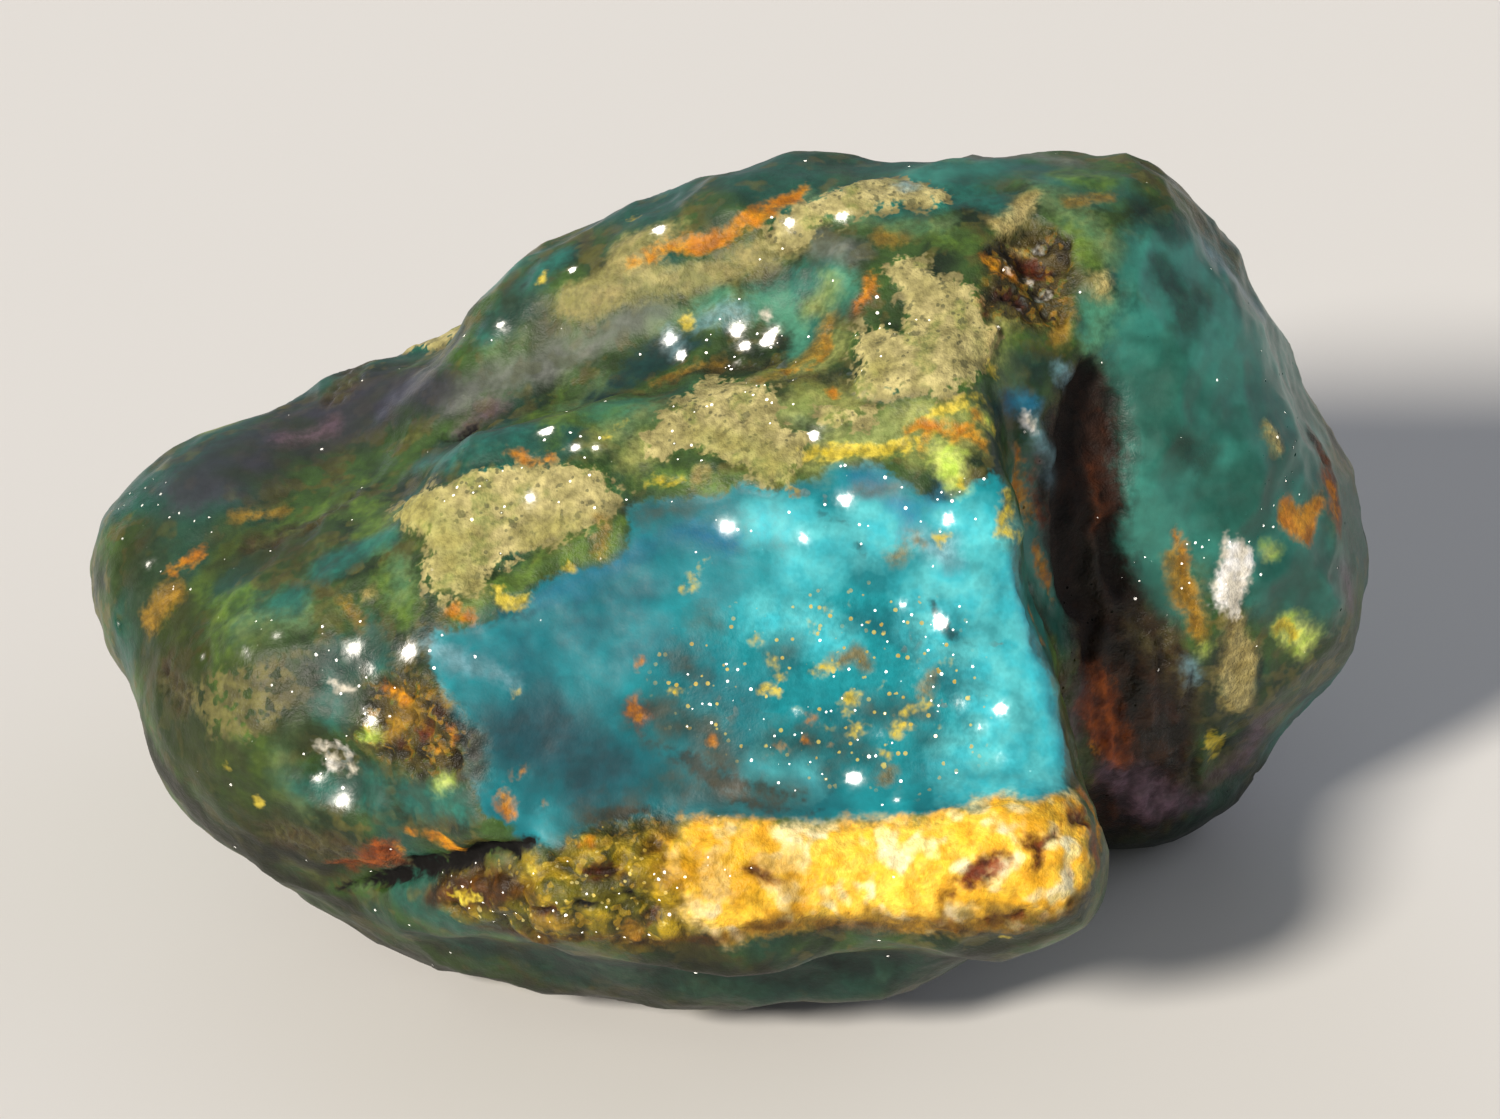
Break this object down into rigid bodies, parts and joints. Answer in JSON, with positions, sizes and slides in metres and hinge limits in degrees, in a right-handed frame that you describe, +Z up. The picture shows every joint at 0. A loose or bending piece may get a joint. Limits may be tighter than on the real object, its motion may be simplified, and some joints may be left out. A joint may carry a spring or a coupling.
{
  "type": "rough blue amber",
  "caption": "Natural unpolished lump of blue amber with a glassy broken face, crust, a ledge and a deep cleft, resting on its flattest side.",
  "frame": {"origin": "on the surface that the lump rests on, under the middle of its bounding box", "axes": "+X along its length towards the deep cleft's end, -Y towards the broken blue face, +Z up"},
  "size_m": [0.046, 0.0304, 0.0251],
  "materials": {
    "amber": "satin"
  },
  "bodies": {
    "root": {"amber_nugget": "amber"}
  },
  "joints": []
}
